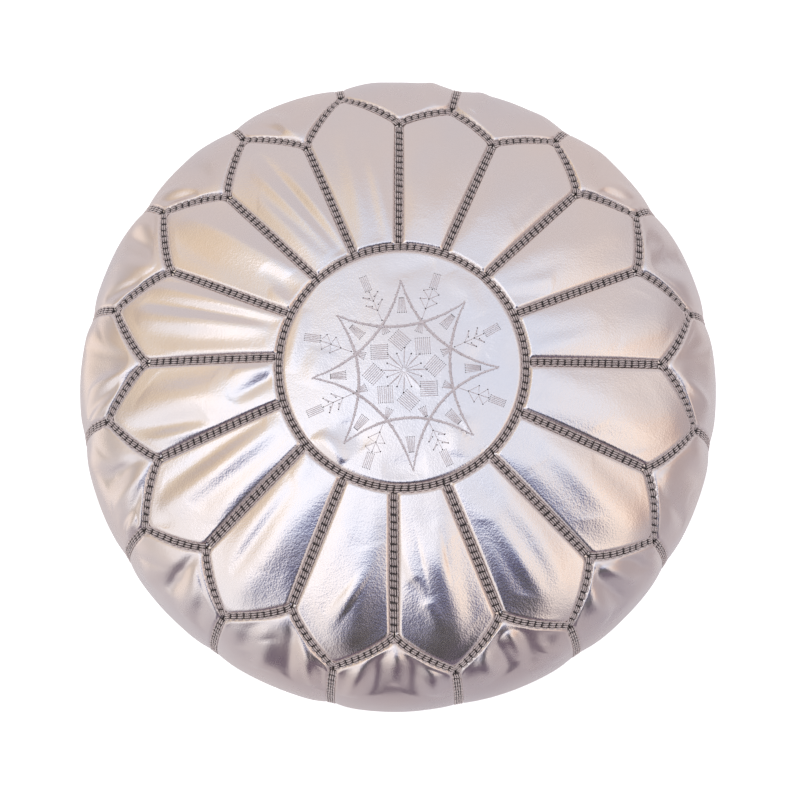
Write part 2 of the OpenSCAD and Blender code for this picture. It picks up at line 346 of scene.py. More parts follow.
def stuff(panels):
    """Simulates every panel at once, from its cut size, and returns each one's points in millimetres."""
    counts = [p.shape[0] * p.shape[1] for p in panels]
    firsts = np.cumsum([0] + counts[:-1])
    faces = [grid_faces(*p.shape, first, flip=p.kind == "medallion") for p, first in zip(panels, firsts)]
    cuts = np.concatenate([p.cut.reshape(-1, 3) for p in panels])
    starts = np.concatenate([p.start.ravel() for p in panels])
    held = np.concatenate([p.held.ravel() for p in panels])
    ob = mesh_object("stuffing_cloth", cuts, np.concatenate(faces))
    ob.shape_key_add(name="cut")
    key = ob.shape_key_add(name="sewn")
    key.data.foreach_set("co", starts * MM)
    key.value = 0
    key.keyframe_insert("value", frame=1)
    key.value = 1
    key.keyframe_insert("value", frame=SEWN_BY)
    pins = ob.vertex_groups.new(name="held")
    pins.add(np.flatnonzero(held).tolist(), 1.0, "REPLACE")
    mod = ob.modifiers.new("cloth", "CLOTH")
    c = mod.settings
    c.quality = 4
    c.mass = 0.3
    c.tension_stiffness = c.compression_stiffness = 18
    c.shear_stiffness = 6
    c.bending_model = "LINEAR"
    c.bending_stiffness = 12
    c.tension_damping = c.compression_damping = c.shear_damping = 10
    c.air_damping = 3
    c.vertex_group_mass = "held"
    c.use_pressure = True
    c.uniform_pressure_force = 10
    c.effector_weights.gravity = 0
    mod.collision_settings.use_collision = False
    mod.collision_settings.use_self_collision = False
    mod.point_cache.frame_start = 1
    mod.point_cache.frame_end = CLOTH_FRAMES
    for f in range(1, CLOTH_FRAMES + 1):
        scene.frame_set(f)
    shaped = ob.evaluated_get(bpy.context.evaluated_depsgraph_get()).to_mesh()
    co = np.empty(len(shaped.vertices) * 3, np.float32)
    shaped.vertices.foreach_get("co", co)
    co = co.reshape(-1, 3).astype(float) / MM
    bpy.data.objects.remove(ob)
    scene.frame_set(1)
    return [co[first:first + n].reshape(*p.shape, 3) for p, first, n in zip(panels, firsts, counts)]


def polar(turn, r):
    return np.array([r * cos(radians(turn)), r * sin(radians(turn))])


# ---- Folds in the leather ----

# One group for each petal. A fold is (across, along, across, along, height, half width): from one place to
# another, in millimetres high or, where negative, deep. across goes from -100 to 100 between the petal's
# seams, anticlockwise. along goes from 0 at the ring to 100 at the scalloped edge.
PETAL_FOLDS = (
    ((-55, 5, -10, 50, 0.5, 9), (10, 50, 50, 85, -0.5, 11), (-50, 60, -30, 90, 0.4, 10)),
    ((10, 2, -45, 35, 0.6, 6), (-10, 0, -70, 30, -0.6, 6), (30, 30, 10, 90, 0.3, 13)),
    ((-80, 25, -70, 85, 0.6, 7), (-50, 40, -50, 75, -0.5, 7), (40, 30, 30, 80, 0.3, 12)),
    ((-60, 5, -45, 50, 0.3, 8), (30, 20, 20, 75, -0.3, 12), (-10, 75, -5, 100, -1, 7)),
    ((-62, 5, -35, 65, 0.8, 6), (-30, 5, -10, 80, -0.7, 7), (15, 10, 15, 90, 0.5, 8),
     (60, 10, 50, 70, -0.4, 8)),
    ((-60, 3, -5, 90, -1.9, 6), (-35, 8, 22, 85, 1.2, 6), (-85, 10, -40, 75, 0.9, 6),
     (20, 5, 60, 70, 0.8, 7), (0, 10, 40, 70, -0.7, 6)),
    ((-50, 15, -25, 90, 1.5, 9), (35, 5, 45, 90, -1.4, 10), (70, 2, 50, 20, 0.8, 5),
     (0, 2, -10, 30, -0.8, 6)),
    ((-75, 5, -60, 95, 1.4, 6), (-45, 5, -25, 90, -1.6, 5), (-15, 10, 10, 90, 1.1, 7),
     (35, 10, 50, 90, -0.9, 8), (75, 5, 80, 80, 0.7, 6)),
    ((-55, 2, -60, 30, 1.1, 6), (-30, 0, 35, 30, -1.2, 5), (10, 30, -30, 85, 1.1, 10),
     (60, 50, 30, 95, -1.6, 8), (80, 50, 65, 90, 1.2, 7), (-50, 40, -70, 85, -0.7, 8)),
    ((-70, 15, -50, 90, -1.3, 7), (-25, 5, -10, 90, 1.1, 8), (30, 10, 25, 75, -0.7, 8),
     (70, 20, 70, 80, 0.5, 8), (10, 85, 15, 95, -0.7, 6)),
    ((-62, 25, -55, 85, 0.6, 7), (-32, 20, -30, 85, -0.8, 6), (10, 10, 10, 70, 0.5, 11),
     (-50, 2, -60, 20, 0.4, 7)),
    ((10, 35, 35, 90, 0.5, 9), (-10, 62, 15, 66, 0.9, 16), (-40, 30, -35, 80, -0.4, 11),
     (60, 5, 60, 35, -0.3, 9)),
    ((-90, 35, -10, 80, 0.7, 7), (-60, 55, -30, 65, -0.8, 7), (-30, 42, 30, 42, 1.1, 17),
     (20, 20, 20, 90, 0.5, 10), (55, 35, 50, 85, -0.5, 9)),
    ((-45, 30, -40, 80, -0.7, 7), (-15, 20, -15, 85, 0.5, 8), (20, 30, 10, 80, -0.5, 9),
     (55, 20, 50, 80, 0.3, 10)),
    ((-10, 25, -45, 70, -0.7, 10), (30, 20, 0, 95, 0.5, 11), (65, 55, 55, 90, -0.5, 8)),
    ((-50, 50, -75, 85, -0.5, 9), (15, 10, -20, 80, 0.4, 12), (50, 30, 45, 80, -0.3, 11)),
)
# The same on the side panels, where along counts millimetres down from the scalloped edge
SIDE_FOLDS = (
    ((-25, 5, -55, 35, 1.8, 6), (10, 5, 35, 45, -1.7, 7), (60, 10, 50, 50, 1.4, 8)),
    ((0, 12, 10, 50, -1.8, 9), (-50, 10, -30, 50, 1.2, 9), (55, 8, 30, 25, -1.4, 6)),
    ((-75, 10, -25, 10, -2.2, 5), (-70, 22, -20, 25, 1.2, 6), (40, 20, 30, 80, 0.9, 12)),
    ((0, 5, 30, 35, -1.4, 6), (65, 10, 55, 50, 2, 6), (-50, 15, -50, 60, 0.9, 10)),
    ((-65, 5, -50, 55, 2.1, 7), (-30, 10, -25, 50, -1.4, 8), (50, 20, 40, 60, 0.9, 11)),
    ((15, 3, 30, 40, 1.6, 6), (30, 10, 75, 18, -1.7, 6), (-30, 10, -45, 50, -1, 8)),
    ((35, 7, 85, 12, -2.3, 5), (30, 20, 80, 25, 1.3, 6), (-30, 20, -25, 70, 0.8, 12)),
    ((-30, 12, -40, 45, -2.1, 6), (40, 6, 80, 22, -2.2, 5), (10, 10, 5, 50, 1.4, 7),
     (-70, 10, -65, 40, 1.2, 6)),
    ((-60, 25, -50, 55, 1.8, 9), (-10, 10, -40, 50, -1.6, 6), (15, 6, 40, 40, 1.6, 6),
     (40, 8, 75, 35, -1.7, 5), (70, 5, 95, 30, 1.3, 5)),
    ((-55, 28, -45, 60, 2, 10), (-15, 6, -5, 50, -2.3, 5), (20, 6, 35, 45, 1.6, 6),
     (50, 5, 75, 35, -2, 5), (75, 10, 85, 30, 2.1, 6)),
    ((-50, 30, -35, 60, 1.8, 9), (-5, 5, 0, 50, -2.5, 5), (30, 10, 35, 50, 1.3, 8),
     (60, 10, 65, 40, -1.4, 6)),
    ((-50, 3, -50, 35, -1.4, 7), (-15, 25, -10, 60, 2.2, 8), (20, 5, 30, 50, -2.3, 6),
     (50, 5, 75, 40, 2.2, 6), (80, 10, 85, 40, -1.9, 6)),
    ((-55, 5, -70, 45, 2.6, 6), (-25, 4, -30, 45, -2.7, 6), (5, 6, 0, 40, 1.9, 6),
     (35, 4, 25, 45, -2.7, 6), (65, 8, 60, 40, 2.4, 6)),
    ((-60, 6, -40, 40, 2.4, 6), (-25, 4, -10, 45, -2.8, 6), (0, 10, 10, 40, 2, 7),
     (30, 5, 20, 55, -2.7, 7), (65, 5, 50, 30, -1.8, 6), (50, 20, 70, 50, 1.4, 7)),
    ((-50, 6, -35, 45, 2.2, 7), (-20, 5, 0, 55, -3, 6), (10, 8, 25, 40, 2, 7), (45, 5, 60, 30, -2.2, 6),
     (70, 15, 75, 50, 1.2, 7)),
    ((-30, 6, -40, 50, -1.8, 6), (5, 8, 0, 50, 1.5, 8), (40, 10, 30, 60, -1.5, 7),
     (70, 5, 60, 35, 1.4, 6)),
)
MEDALLION_FOLDS = (     # (turn, radius, turn, radius, height, half width)
    (222, 78, 242, 88, 1.9, 7), (228, 60, 250, 70, -1, 9), (320, 62, 300, 84, 1.2, 9),
    (30, 70, 60, 82, 0.8, 9), (150, 84, 185, 84, 0.9, 6), (355, 60, 20, 76, -0.8, 9),
    (100, 70, 70, 84, -0.6, 8), (195, 70, 170, 60, 0.6, 9), (285, 82, 262, 84, -0.7, 8),
)


def ridge(x, y, x0, y0, x1, y1, height, width):
    """A rounded ridge from one place to another in a plane, all in millimetres."""
    length = hypot(x1 - x0, y1 - y0)
    q = np.clip(((x - x0) * (x1 - x0) + (y - y0) * (y1 - y0)) / length ** 2, 0, 1)
    away = np.hypot(x - x0 - q * (x1 - x0), y - y0 - q * (y1 - y0))
    fade = np.clip(4 * q * (1 - q), 0, 1) ** 0.6
    return height * fade * np.exp(-(away / width) ** 2)


def fold_heights(panel, across, along, half_wide, long):
    """How far the folds lift each point of a panel."""
    folds = {"petal": PETAL_FOLDS, "side": SIDE_FOLDS}[panel.kind]
    lift = np.zeros_like(across)
    for *places, height, width in folds[panel.k]:
        u0, v0, u1, v1 = (p / 100 for p in places)
        w0, w1 = (np.interp(v, along[:, 0], half_wide) for v in (v0, v1))
        lift += ridge(across * half_wide[:, None], along * long, u0 * w0, v0 * long, u1 * w1, v1 * long,
                      height, width)
    return lift


# ---- Shells: each panel as closed leather ----

def resample(grid, rows, columns):
    """The grid at fractional row and column numbers, on smooth curves through its points."""
    for axis, at in ((0, rows), (1, columns)):
        g = np.moveaxis(grid, axis, 0)
        g = np.concatenate([2 * g[:1] - g[1:2], g, 2 * g[-1:] - g[-2:-1]])
        i = np.minimum(at.astype(int), len(g) - 4)
        t = (at - i).reshape(-1, *[1] * (g.ndim - 1))
        a, b, c, d = g[i], g[i + 1], g[i + 2], g[i + 3]
        bend = (2 * a - 5 * b + 4 * c - d) * t ** 2
        twist = (3 * b - a - 3 * c + d) * t ** 3
        smooth = 0.5 * (2 * b + (c - a) * t + bend + twist)
        grid = np.moveaxis(smooth, 0, axis)
    return grid


def finer(count, fine_last=True):
    """Row numbers for resampling: two to a cell, and five to a cell beside the seams."""
    at = [0.0]
    for cell in range(count - 1):
        near = 1 <= cell <= 2 or (fine_last and count - 4 <= cell <= count - 3)
        steps = 5 if near else 2
        at += [cell + (n + 1) / steps for n in range(steps)]
    return np.array(at)


CALM_TOP, CALM_SIDE = 28, 12        # rounds of calming


def calmed(grid, gap, rounds):
    """Takes the cloth's finest ripples out, away from the seams."""
    weight = 0.5 * np.clip((gap - PINNED) / 4, 0, 1)[1:-1, 1:-1, None]
    for _ in range(rounds):
        mean = (grid[:-2, 1:-1] + grid[2:, 1:-1] + grid[1:-1, :-2] + grid[1:-1, 2:]) / 4
        grid[1:-1, 1:-1] += weight * (mean - grid[1:-1, 1:-1])
    return grid


def finished(panel, grid):
    """The stuffed grid made finer, with its rolled edges and its folds."""
    side, medal = panel.kind == "side", panel.kind == "medallion"
    grid = calmed(grid.copy(), panel.gap, CALM_SIDE if side else CALM_TOP)
    rows, columns = panel.shape
    at = (finer(rows, fine_last=not side), finer(columns))
    facts = np.stack([panel.gap, panel.turn, panel.s, panel.across, panel.along], -1)
    i, j = (np.minimum(x.astype(int), n - 2) for x, n in zip(at, panel.shape))
    fi, fj = at[0] - i, at[1] - j
    rows_mix = facts[i] * (1 - fi)[:, None, None] + facts[i + 1] * fi[:, None, None]
    mixed = rows_mix[:, j] * (1 - fj)[:, None] + rows_mix[:, j + 1] * fj[:, None]
    gap, turn, s, across, along = np.moveaxis(mixed, -1, 0)
    grid = resample(grid, *at)
    out = normals(grid) * (-1 if medal else 1)
    t = np.clip((gap - PINNED + 0.3) / 2.8, 0, 1)
    roll = -edge_roll(s) * (1 - np.sqrt(t * (2 - t)))
    if medal:
        x, y = (radius_at(s) * f(np.radians(turn)) for f in (np.cos, np.sin))
        lift = 0
        for t0, r0, t1, r1, height, width in MEDALLION_FOLDS:
            lift = lift + ridge(x, y, *polar(t0, r0), *polar(t1, r1), height, width)
        pucker = np.clip((84 - s) / 20, 0, 1)       # the stitches draw the leather up a little
        lift = lift + 0.45 * wander(turn, s, 36, 5) + 0.12 * pucker * wander(turn, s, 11, 8)
    else:
        half_wide = 0.5 * np.radians(STEP) * radius_at(s[:, s.shape[1] // 2])
        long = SIDE_LONG if side else PETAL_LONG
        lift = fold_heights(panel, across, along, half_wide, long) + 0.25 * wander(turn, s, 30, 6)
    held = np.clip((gap - PINNED) / 7, 0, 1)
    return grid + out * (roll + lift * held * (2 - held))[..., None]


def normals(grid):
    n = np.cross(*np.gradient(grid, axis=(0, 1)))
    return n / np.maximum(norm(n, axis=-1, keepdims=True), 1e-9)


def shell(name, grid, flip):
    """A closed sheet of leather whose outer face is the grid."""
    rows, columns = grid.shape[:2]
    n = normals(grid) * (-1 if flip else 1)
    count = rows * columns
    points = np.concatenate([grid.reshape(-1, 3), (grid - LEATHER_T * n).reshape(-1, 3)])
    outer = grid_faces(rows, columns, 0, flip)
    inner = grid_faces(rows, columns, count, not flip)
    i = np.arange(count).reshape(rows, columns)
    loop = np.concatenate([i[0, :-1], i[:-1, -1], i[-1, :0:-1], i[:0:-1, 0]])
    if not flip:
        loop = loop[::-1]
    following = np.roll(loop, -1)
    rim = np.stack([following, loop, loop + count, following + count], -1)
    return mesh_object(name, points, np.concatenate([outer, inner, rim]))


# ---- Materials ----

def add_node(nt, kind, **settings):
    """A node with its sockets and properties set. A socket's name has _ for each space."""
    n = nt.nodes.new("ShaderNode" + kind)
    for key, value in settings.items():
        socket = key.replace("_", " ")
        if socket in n.inputs:
            n.inputs[socket].default_value = value
        else:
            setattr(n, key, value)
    return n


class Look:
    """A material being made. Its textures follow the object, at a scale in metres."""

    def __init__(self, name):
        self.material = bpy.data.materials.new(name)
        self.material.use_nodes = True
        self.tree = self.material.node_tree
        self.link = self.tree.links.new
        self.shader = self.tree.nodes["Principled BSDF"]
        self.at = self.add("TexCoord").outputs["Object"]

    def add(self, kind, **settings):
        return add_node(self.tree, kind, **settings)

    def texture(self, kind, output="Fac", at=None, **settings):
        n = self.add("Tex" + kind, **settings)
        self.link(self.at if at is None else at, n.inputs["Vector"])
        return n.outputs[output]

    def mapped(self, **settings):
        """Where textures are placed, turned or stretched."""
        n = self.add("Mapping", vector_type="POINT", **settings)
        self.link(self.at, n.inputs["Vector"])
        return n.outputs["Vector"]

    def math(self, operation, *sources):
        n = self.add("Math", operation=operation)
        for socket, source in zip(n.inputs, sources):
            if isinstance(source, float):
                socket.default_value = source
            else:
                self.link(source, socket)
        return n.outputs[0]

    def colour(self, source, *stops):
        """A colour ramp over source. stops are (place, colour)."""
        r = self.add("ValToRGB")
        for e, (at, colour) in zip(r.color_ramp.elements, stops):
            e.position = at
            e.color = (*colour, 1)
        self.link(source, r.inputs["Fac"])
        self.link(r.outputs["Color"], self.shader.inputs["Base Color"])

    def gloss(self, source, low, high):
        """Roughness that varies with source."""
        n = self.add("MapRange", To_Min=low, To_Max=high)
        self.link(source, n.inputs["Value"])
        self.link(n.outputs["Result"], self.shader.inputs["Roughness"])

    def bump(self, height, strength, distance, under=None):
        n = self.add("Bump", Strength=strength, Distance=distance)
        self.link(height, n.inputs["Height"])
        if under is not None:
            self.link(under, n.inputs["Normal"])
        self.link(n.outputs["Normal"], self.shader.inputs["Normal"])
        return n.outputs["Normal"]

    def set(self, **settings):
        for key, value in settings.items():
            self.shader.inputs[key.replace("_", " ")].default_value = value


def leather_material(name, tint, dull):
    """Metallic foil on leather: pebbled grain, soft wear, and colour that drifts over the hide."""
    look = Look(name)
    drift = look.texture("Noise", Scale=9.0, Detail=3.0, Roughness=0.55)
    warm = tuple(min(1, c * f) for c, f in zip(tint, (1.03, 1.0, 0.95)))
    cool = tuple(min(1, c * f) for c, f in zip(tint, (0.96, 0.985, 1.0)))
    look.colour(drift, (0.35, warm), (0.65, cool))
    look.set(Metallic=0.92)
    # pebbled grain: cells under two millimetres across, broken up by finer pores
    cells = look.texture("Voronoi", "Distance", Scale=680.0)
    pores = look.texture("Noise", Scale=1700.0, Detail=2.0)
    soft = look.texture("Noise", Scale=160.0, Detail=3.0)
    fine = look.bump(look.math("MULTIPLY_ADD", pores, 0.35, cells), 0.13, 0.0005)
    look.bump(soft, 0.10, 0.0012, fine)
    # gloss varies where hands and folds have rubbed the foil
    look.gloss(look.texture("Noise", Scale=26.0, Detail=4.0, Roughness=0.6), dull - 0.05, dull + 0.07)
    return look.material


def thread_material(name, light, dark, twist=900.0, rough=0.55):
    """Twisted thread: fine fibres, in a lighter and a darker tone mixed by noise."""
    look = Look(name)
    fibre = look.texture("Noise", Scale=twist, Detail=3.0)
    look.colour(fibre, (0.3, dark), (0.55, light))
    look.set(Roughness=rough, Sheen_Weight=0.3)
    look.bump(fibre, 0.5, 0.0003)
    return look.material


def weave_material(name, light, dark, pitch):
    """Plain cloth: two crossing waves of threads, a pitch apart in metres."""
    look = Look(name)
    waves = [look.texture("Wave", at=look.mapped(Rotation=(0, 0, radians(turn))),
                          Scale=1 / pitch / 3.2, Distortion=0.6) for turn in (35, -35)]
    both = look.math("MAXIMUM", *waves)
    look.colour(both, (0.25, dark), (0.8, light))
    look.set(Roughness=0.85, Sheen_Weight=0.2)
    look.bump(both, 0.5, 0.0002)
    return look.material


def metal_material(name, tint):
    """Satin brass, a little tarnished in patches and finely scratched."""
    look = Look(name)
    tarnish = look.texture("Noise", Scale=160.0, Detail=4.0, Roughness=0.6)
    scratch = look.texture("Noise", at=look.mapped(Scale=(0.08, 1.0, 1.0)), Scale=900.0, Detail=2.0)
    look.colour(tarnish, (0.38, tuple(c * 0.62 for c in tint)), (0.58, tint))
    look.set(Metallic=1.0)
    look.gloss(scratch, 0.22, 0.45)
    look.bump(scratch, 0.15, 0.0001)
    return look.material


rose_silver = leather_material("rose_silver_leather", (0.84, 0.755, 0.735), dull=0.21)
side_silver = leather_material("side_leather", (0.82, 0.73, 0.71), dull=0.27)
base_leather = leather_material("base_leather", (0.66, 0.59, 0.57), dull=0.42)
braid_strand = thread_material("braid_strands", (0.71, 0.605, 0.58), (0.37, 0.30, 0.285))
# the bed under the braids: partly the dark under-thread, and near-black as painted shade in the gaps
# between stitches and along the braid's edges
braid_bed_shade = thread_material("braid_bed_shade", (0.045, 0.033, 0.033), (0.022, 0.016, 0.016), rough=0.7)
embroidery_thread = thread_material(
    "embroidery_thread", (0.82, 0.745, 0.765), (0.62, 0.545, 0.56), rough=0.42)
# needle holes: small raised dots coloured near-black as painted shade of the holes where the needle went
# in
needle_hole_shade = thread_material("needle_hole_shades", (0.13, 0.105, 0.11), (0.06, 0.048, 0.05), rough=0.7)
sewing_thread = thread_material("sewing_thread", (0.60, 0.53, 0.50), (0.36, 0.31, 0.30))
zip_tape = weave_material("zip_tape_weave", (0.34, 0.29, 0.27), (0.16, 0.135, 0.125), 0.0009)
zip_metal = metal_material("zip_brass", (0.78, 0.66, 0.44))
liner_cotton = weave_material("liner_cotton", (0.84, 0.80, 0.72), (0.60, 0.56, 0.49), 0.0012)
filling_cotton = thread_material(
    "filling_cotton", (0.86, 0.83, 0.76), (0.66, 0.62, 0.55), twist=260.0, rough=0.95)

panels = make_panels()
shaped = stuff(panels)

DEEPEST = -5.4      # nothing goes deeper than this, because the liner is at 8
LOWEST = 0.3        # nor nearer the floor than this


def depth_of(points):
    """How far points are outside the CAD's outer face, and the outward direction there."""
    r = np.hypot(points[:, 0], points[:, 1])
    d = np.empty(len(points))
    out = np.empty_like(points)
    for i in range(0, len(points), 4000):
        some = slice(i, i + 4000)
        p, pr = points[some], r[some]
        gap = (PROFILE[None, :, 1] - pr[:, None]) ** 2 + (PROFILE[None, :, 2] - p[:, 2:]) ** 2
        nearest = PROFILE[np.argmin(gap, 1)]
        nr, nz = nearest[:, 3], nearest[:, 4]
        d[some] = (pr - nearest[:, 1]) * nr + (p[:, 2] - nearest[:, 2]) * nz
        out[some] = np.column_stack([p[:, :2] / np.maximum(pr[:, None], 1e-6) * nr[:, None], nz])
    return d, out


def keep_shallow(grid):
    """Lifts what has folded in too far."""
    flat = grid.reshape(-1, 3)
    d, out = depth_of(flat)
    return (flat + out * np.maximum(DEEPEST - d, 0)[:, None]).reshape(grid.shape)


for p, grid in zip(panels, shaped):
    number = "" if p.kind == "medallion" else f"_{p.k + 1:02d}"
    name = f"{p.kind}_leather{number}"
    node = ("side_panel" if p.kind == "side" else p.kind) + number
    grid = keep_shallow(finished(p, grid))
    grid[..., 2] = np.maximum(grid[..., 2], LOWEST)
    ob = shell(name, grid, flip=p.kind == "medallion")
    ob.data.materials.append(side_silver if p.kind == "side" else rose_silver)
    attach(ob, "cover")
    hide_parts(node)


# ---- Small shapes gathered into one mesh ----

class Pile:
    """Gathers points and faces of many small shapes, with a material index for each face."""

    def __init__(self):
        self.points, self.faces, self.materials, self.count = [], [], [], 0

    def add(self, points, blocks, material=0):
        """blocks are arrays of faces, each with its own number of corners."""
        self.points.append(points)
        for faces in blocks:
            self.faces += (np.asarray(faces) + self.count).tolist()
            self.materials += [material] * len(faces)
        self.count += len(points)

    def tube(self, centres, sides, ups, half, flat, around, material=0):
        """A closed tube along centres. half is its half width at each, and flat how much lower it is."""
        a = (np.arange(around) + 0.5) * 2 * np.pi / around
        half_h = half * flat
        ring = (np.cos(a)[:, None] * (sides * half[:, None])[:, None]
                + np.sin(a)[:, None] * (ups * half_h[:, None])[:, None] + centres[:, None])
        points = np.concatenate([ring.reshape(-1, 3), centres[:1], centres[-1:]])
        self.add(points, tube_faces(len(centres), around), material)

    def build(self, name, materials):
        ob = mesh_object(name, np.concatenate(self.points), self.faces)
        for m in materials:
            ob.data.materials.append(m)
        ob.data.polygons.foreach_set("material_index", self.materials)
        ob.data.update()
        return ob


def tube_faces(rings, around):
    """Faces of a closed tube whose two last points are the middles of its ends."""
    i, j = np.meshgrid(np.arange(rings - 1), np.arange(around), indexing="ij")
    a, b = (i * around + j).ravel(), (i * around + (j + 1) % around).ravel()
    walls = np.stack([a, b, b + around, a + around], -1)
    j = np.arange(around)
    following = (j + 1) % around
    last = (rings - 1) * around
    caps = [np.stack([following, j, np.full(around, rings * around)], -1),
            np.stack([last + j, last + following, np.full(around, rings * around + 1)], -1)]
    return [walls, np.concatenate(caps)]


# ---- Braids ----

CELL = 5.4                              # one stitch of the braid, along the seam
STRANDS = (-2.6, -0.87, 0.87, 2.6)      # where its four strands lie across it
STRAND_ROUND, STRAND_RINGS = 6, 6       # points round a strand, and rings along it
STRAND_HALF = 0.70
STRAND_LOW, STRAND_ARCH = 0.30, 0.78    # how high a strand's ends lie, and how much its middle rises
BED_HALF = 3.6


class Path:
    """A seam's line over the cover, with a frame at each point."""

    def __init__(self, turn, s):
        t2, s2 = sewn(turn, s)
        h = seam_height(turn, s)
        self.at = place(t2, s2, h)
        up = place(t2, s2, h + 1) - self.at
        ahead = np.gradient(self.at, axis=0)
        ahead /= norm(ahead, axis=1, keepdims=True)
        side = np.cross(up, ahead)
        self.side = side / norm(side, axis=1, keepdims=True)
        self.up = np.cross(ahead, self.side)
        step = norm(np.diff(self.at, axis=0), axis=1)
        self.run = np.concatenate([[0], np.cumsum(step)])
        self.length = float(self.run[-1])

    def frame(self, x):
        x = np.clip(x, 0, self.length)
        return [np.stack([np.interp(x, self.run, v[:, i]) for i in range(3)], -1)
                for v in (self.at, self.side, self.up)]


def braid(pile, path, rng, closed=False):
    """One laced braid: a near-black bed, partly the dark under-thread and partly painted shade in the gaps
    between stitches and along the braid's edges, and four strands in each stitch.
    """
    # the bed, a flat strip with turned-down edges, coloured near-black as painted shade where it shows
    # between and beside the strands
    x = np.linspace(0, path.length, max(3, int(path.length / 1.8)))
    at, side, up = path.frame(x)
    wide = np.array([-1.0, -0.96, -0.5, 0.5, 0.96, 1.0]) * BED_HALF
    high = np.array([-0.6, 0.2, 0.45, 0.45, 0.2, -0.6])
    grid = at[:, None] + side[:, None] * wide[:, None] + up[:, None] * high[:, None]
    n, m = grid.shape[:2]
    i = np.arange(n * m).reshape(n, m)
    under = np.stack([i[:-1, 0], i[:-1, -1], i[1:, -1], i[1:, 0]], -1)
    blocks = [grid_faces(n, m), under]
    if not closed:
        blocks += [i[:1], i[-1:, ::-1]]
    pile.add(grid.reshape(-1, 3), blocks, 1)
    # the strands
    cells = max(1, round(path.length / CELL))
    pitch = path.length / cells
    u = np.linspace(-1, 1, STRAND_RINGS)
    arch = np.sqrt(1 - (0.94 * u) ** 2)
    for c in range(cells):
        middle = (c + 0.5) * pitch + rng.normal(0, 0.14)
        skew = rng.normal(0.13, 0.05)
        lean = rng.normal(0.10, 0.10)
        for row, y in enumerate(STRANDS):
            through = 0.49 if row == 3 else 0.395 + rng.uniform(-0.015, 0.03)
            x = middle + skew * y + pitch * through * u
            at, side, up = path.frame(x)
            y_at = y + lean * u + rng.normal(0, 0.06)
            z_at = STRAND_LOW + STRAND_ARCH * arch + rng.normal(0, 0.05)
            w = STRAND_HALF * (0.5 + 0.5 * arch)
            centres = at + side * y_at[:, None] + up * z_at[:, None]
            pile.tube(centres, side, up, w, 0.75, STRAND_ROUND)


def braids(name, node, paths, rng, closed=False):
    """Braids along the paths, as one piece."""
    pile = Pile()
    for path in paths:
        braid(pile, path, rng, closed)
    ob = pile.build(name, [braid_strand, braid_bed_shade])
    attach(ob, "cover")
    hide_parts(node)


def ring_path():
    turn = SEAM_TURN + np.linspace(0, 360, 1200)
    return Path(turn, np.full_like(turn, S_RING))


def straight_path(turn, first, last):
    """Down the cover between two distances from the crown."""
    s = np.linspace(first, last, max(3, int((last - first) / 0.6)))
    return Path(np.full_like(s, turn), s)


def petal_path(k):
    turn = SEAM_TURN + STEP * k
    return straight_path(turn, S_RING + 3.5, float(scallop_s(turn)) - 3.0)


def scallop_path(k):
    """Half of one petal's edge, between a notch and a tip."""
    turn = SEAM_TURN + STEP / 2 * (k + np.linspace(0.002, 0.998, 110))
    return Path(turn, scallop_s(turn))


def side_path(k):
    turn = SEAM_TURN + STEP * (k + 0.5)
    return straight_path(turn, float(scallop_s(turn)) + 3.5, S_END - 6)


# ---- Embroidery on the medallion ----

STAR_R = (72, 71, 71, 67, 70, 72, 77, 72)           # the star's tips, starting nearest +X
STAR_TURN = (2, 49, 92, 140, 185, 231, 275, 316)
BAND_BOW = 20.5         # how near the centre a band's curve is drawn
BLOCK_R = 23.5
BLOCK_SIZE = 12.6
STAR_CENTRE = (4.5, -6.5)
BAND_STITCHES = 170
THREAD_HALF = 0.30
THREAD_DEEP, THREAD_RISE = 0.18, 0.42   # how far a thread's ends dive in, and its middle stands above them
HAND_WOBBLE = 0.09


